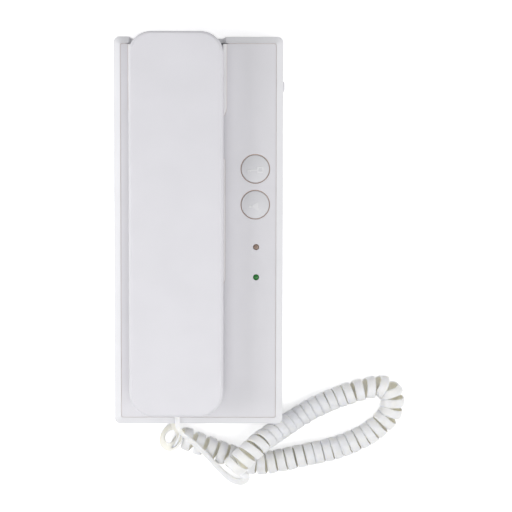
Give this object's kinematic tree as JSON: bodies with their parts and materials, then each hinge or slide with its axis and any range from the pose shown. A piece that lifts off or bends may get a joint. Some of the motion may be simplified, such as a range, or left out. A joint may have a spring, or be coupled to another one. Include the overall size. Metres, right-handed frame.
{
  "type": "audio intercom handset",
  "caption": "Wall intercom station: a handset resting in a cradle on a flat base with push buttons and lamps, joined to it by a curly cord.",
  "frame": {"origin": "centre of the wall base's back face", "axes": "+Z out of the front, +Y towards the ear end, +X towards the buttons' side"},
  "size_m": [0.1604, 0.25, 0.046],
  "materials": {
    "case_white": "satin moulded white plastic",
    "panel_white": "fine matt texture, slightly greyer than the rim",
    "handset_white": "satin moulded white plastic",
    "button_grey": "satin light grey plastic",
    "lamp_amber": "tinted clear lens, unlit",
    "lamp_green": "tinted clear lens, unlit",
    "cord_white": "soft flexible cord cover",
    "plug_clear": "clear moulded plug",
    "mechanism_black": "moulded switch and capsule bodies",
    "board_green": "solder mask on glass fibre board",
    "terminal_green": "moulded terminal block",
    "steel": "zinc plated steel",
    "rubber_black": "soft rubber"
  },
  "bodies": {
    "base": {"rear_case": "case_white", "front_panel": "panel_white", "door_switch": "mechanism_black", "call_switch": "mechanism_black", "call_lamp": "lamp_amber", "power_lamp": "lamp_green", "main_board": "board_green", "board_parts": "mechanism_black", "terminal_block": "terminal_green", "terminal_screws": "steel", "hook_switch": "mechanism_black", "hook_spring": "steel", "volume_switch": "mechanism_black", "call_sounder": "mechanism_black", "base_jack": "mechanism_black", "base_plug": "plug_clear", "panel_screws": "steel", "board_screws": "steel", "handset_lead": "cord_white", "cord_coil": "cord_white", "base_lead": "cord_white"},
    "handset": {"handset_shell_front": "handset_white", "handset_shell_back": "handset_white", "handset_screws": "steel", "handset_weight": "steel", "receiver_capsule": "mechanism_black", "receiver_gasket": "rubber_black", "microphone_capsule": "steel", "microphone_boot": "rubber_black", "handset_jack": "mechanism_black", "handset_plug": "plug_clear"},
    "hook": {"hook_plunger": "case_white"},
    "door_push": {"door_button": "button_grey"},
    "call_push": {"call_button": "button_grey"},
    "volume_knob": {"volume_slider": "case_white"}
  },
  "joints": [
    {"name": "handset_lift", "type": "slide", "parent": "base", "child": "handset", "axis": [0, 0, 1], "range_m": [0, 0.04]},
    {"name": "hook_rise", "type": "slide", "parent": "base", "child": "hook", "axis": [0, 0, 1], "range_m": [0, 0.003], "deforming": ["hook_spring"]},
    {"name": "door_press", "type": "slide", "parent": "base", "child": "door_push", "axis": [0, 0, -1], "range_m": [0, 0.001], "stiffness_N_per_m": 300, "springref_m": -0.001},
    {"name": "call_press", "type": "slide", "parent": "base", "child": "call_push", "axis": [0, 0, -1], "range_m": [0, 0.001], "stiffness_N_per_m": 300, "springref_m": -0.001},
    {"name": "volume_slide", "type": "slide", "parent": "base", "child": "volume_knob", "axis": [0, 1, 0], "range_m": [-0.0022, 0.0022]}
  ],
  "couplings": [
    {"joint": "hook_rise", "follows": "handset_lift", "ratio": 0.075}
  ]
}
